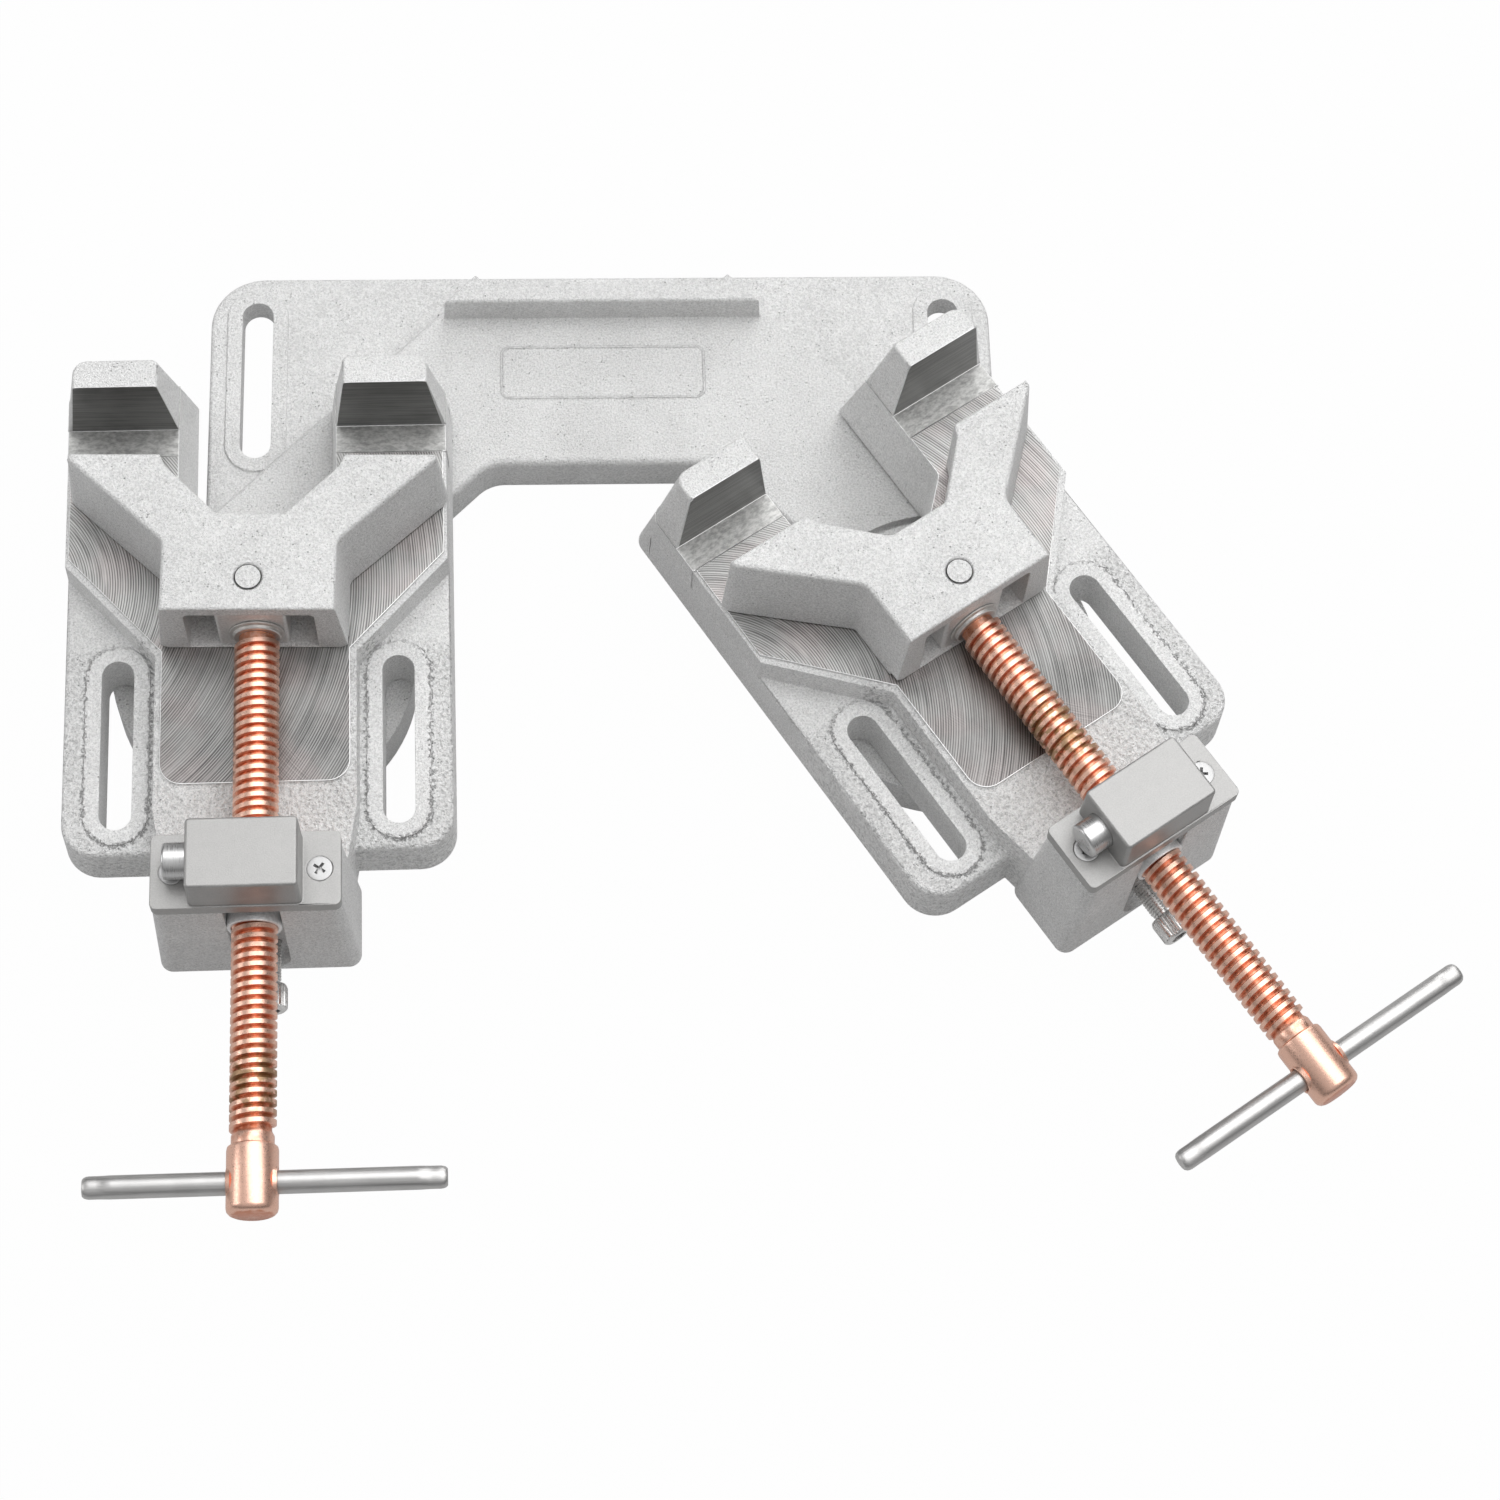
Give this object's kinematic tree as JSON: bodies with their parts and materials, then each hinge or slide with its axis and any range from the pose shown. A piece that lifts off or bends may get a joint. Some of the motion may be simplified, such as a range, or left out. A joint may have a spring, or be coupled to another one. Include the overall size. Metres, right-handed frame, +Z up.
{
  "type": "welding vise",
  "caption": "Corner welding vise: screw clamps with forked jaws and quick-release nuts swivel on a slotted cast bridge plate.",
  "frame": {"origin": "on the underside of the bridge plate, midway between its two wing slots", "axes": "+Z up, +Y from the handles towards the fixed fingers and the back of the plate, +X from the left vise to the right vise"},
  "size_m": [0.4285, 0.3375, 0.09],
  "materials": {
    "cast_alloy": "bead-blasted casting with milled faces",
    "cover_alloy": "satin",
    "copper_plate": "copper plating on steel",
    "plated_steel": "bright zinc",
    "turned_steel": "turned",
    "dark_steel": "black oxide",
    "spring_steel": "bright wire",
    "nut_bronze": "machined bronze"
  },
  "bodies": {
    "base": {"base_plate": "cast_alloy"},
    "left_vise": {"left_vise_body": "cast_alloy", "left_nut_cover": "cover_alloy", "left_cover_screws": "plated_steel", "left_nut_bush": "plated_steel", "left_button_spring": "spring_steel", "left_pivot_bolt": "dark_steel", "left_pivot_washer": "plated_steel"},
    "left_carriage": {"left_spindle_block": "plated_steel", "left_jaw_pin": "plated_steel"},
    "left_jaw": {"left_moving_jaw": "cast_alloy"},
    "left_screw": {"left_spindle": "copper_plate", "left_thrust_collar": "plated_steel", "left_retaining_clip": "spring_steel"},
    "left_bar": {"left_tommy_bar": "plated_steel"},
    "left_button": {"left_release_button": "turned_steel"},
    "left_nut": {"left_half_nut": "nut_bronze"},
    "left_pad": {"left_lock_pad": "nut_bronze"},
    "left_lock": {"left_lock_screw": "plated_steel"},
    "right_vise": {"right_vise_body": "cast_alloy", "right_nut_cover": "cover_alloy", "right_cover_screws": "plated_steel", "right_nut_bush": "plated_steel", "right_button_spring": "spring_steel", "right_pivot_bolt": "dark_steel", "right_pivot_washer": "plated_steel"},
    "right_carriage": {"right_spindle_block": "plated_steel", "right_jaw_pin": "plated_steel"},
    "right_jaw": {"right_moving_jaw": "cast_alloy"},
    "right_screw": {"right_spindle": "copper_plate", "right_thrust_collar": "plated_steel", "right_retaining_clip": "spring_steel"},
    "right_bar": {"right_tommy_bar": "plated_steel"},
    "right_button": {"right_release_button": "turned_steel"},
    "right_nut": {"right_half_nut": "nut_bronze"},
    "right_pad": {"right_lock_pad": "nut_bronze"},
    "right_lock": {"right_lock_screw": "plated_steel"}
  },
  "joints": [
    {"name": "left_swivel", "type": "hinge", "parent": "base", "child": "left_vise", "pos_m": [-0.11, -0.10615, 0.017], "axis": [0, 0, 1], "range_deg": [-90.8, 3.2]},
    {"name": "left_jaw_slide", "type": "slide", "parent": "left_vise", "child": "left_carriage", "axis": [-0.014, 0.9999, 0], "range_m": [-0.068, 0.0224]},
    {"name": "left_jaw_tilt", "type": "hinge", "parent": "left_carriage", "child": "left_jaw", "pos_m": [-0.11004, -0.10315, 0.07], "axis": [0, 0, 1], "range_deg": [-0.1, 2.9]},
    {"name": "left_screw_turn", "type": "hinge", "parent": "left_carriage", "child": "left_screw", "pos_m": [-0.108, -0.15613, 0.057], "axis": [-0.014, 0.9999, 0], "range_deg": [-8162, 2689]},
    {"name": "left_bar_slide", "type": "slide", "parent": "left_screw", "child": "left_bar", "axis": [0.9999, 0.014, 0], "range_m": [-0.0458, 0.0382]},
    {"name": "left_release", "type": "slide", "parent": "left_vise", "child": "left_button", "axis": [0.9999, 0.014, 0], "range_m": [0, 0.0034], "stiffness_N_per_m": 400, "springref_m": -0.005},
    {"name": "left_nut_lift", "type": "slide", "parent": "left_vise", "child": "left_nut", "axis": [0, 0, 1], "range_m": [0, 0.0019]},
    {"name": "left_lock_travel", "type": "slide", "parent": "left_vise", "child": "left_pad", "axis": [-0.014, 0.9999, 0], "range_m": [-0.004, 0.00025]},
    {"name": "left_lock_turn", "type": "hinge", "parent": "left_pad", "child": "left_lock", "pos_m": [-0.10516, -0.16609, 0.028], "axis": [-0.014, 0.9999, 0], "range_deg": [-1441, 91]},
    {"name": "right_swivel", "type": "hinge", "parent": "base", "child": "right_vise", "pos_m": [0.11, -0.10615, 0.017], "axis": [0, 0, 1], "range_deg": [-37.2, 56.8]},
    {"name": "right_jaw_slide", "type": "slide", "parent": "right_vise", "child": "right_carriage", "axis": [-0.5476, 0.8368, 0], "range_m": [-0.068, 0.0224]},
    {"name": "right_jaw_tilt", "type": "hinge", "parent": "right_carriage", "child": "right_jaw", "pos_m": [0.10836, -0.10364, 0.07], "axis": [0, 0, 1], "range_deg": [-1.5, 1.5]},
    {"name": "right_screw_turn", "type": "hinge", "parent": "right_carriage", "child": "right_screw", "pos_m": [0.13738, -0.14799, 0.057], "axis": [-0.5476, 0.8368, 0], "range_deg": [-8162, 2689]},
    {"name": "right_bar_slide", "type": "slide", "parent": "right_screw", "child": "right_bar", "axis": [0.8368, 0.5476, 0], "range_m": [-0.0425, 0.0415]},
    {"name": "right_release", "type": "slide", "parent": "right_vise", "child": "right_button", "axis": [0.8368, 0.5476, 0], "range_m": [0, 0.0034], "stiffness_N_per_m": 400, "springref_m": -0.005},
    {"name": "right_nut_lift", "type": "slide", "parent": "right_vise", "child": "right_nut", "axis": [0, 0, 1], "range_m": [0, 0.0019]},
    {"name": "right_lock_travel", "type": "slide", "parent": "right_vise", "child": "right_pad", "axis": [-0.5476, 0.8368, 0], "range_m": [-0.004, 0.00025]},
    {"name": "right_lock_turn", "type": "hinge", "parent": "right_pad", "child": "right_lock", "pos_m": [0.14285, -0.15636, 0.028], "axis": [-0.5476, 0.8368, 0], "range_deg": [-1441, 91]}
  ],
  "couplings": [
    {"joint": "left_screw_turn", "follows": "left_jaw_slide", "rad_per_m": 2094.4},
    {"joint": "left_nut_lift", "follows": "left_release", "ratio": 0.55},
    {"joint": "left_lock_turn", "follows": "left_lock_travel", "rad_per_m": 6283.2},
    {"joint": "right_screw_turn", "follows": "right_jaw_slide", "rad_per_m": 2094.4},
    {"joint": "right_nut_lift", "follows": "right_release", "ratio": 0.55},
    {"joint": "right_lock_turn", "follows": "right_lock_travel", "rad_per_m": 6283.2}
  ]
}
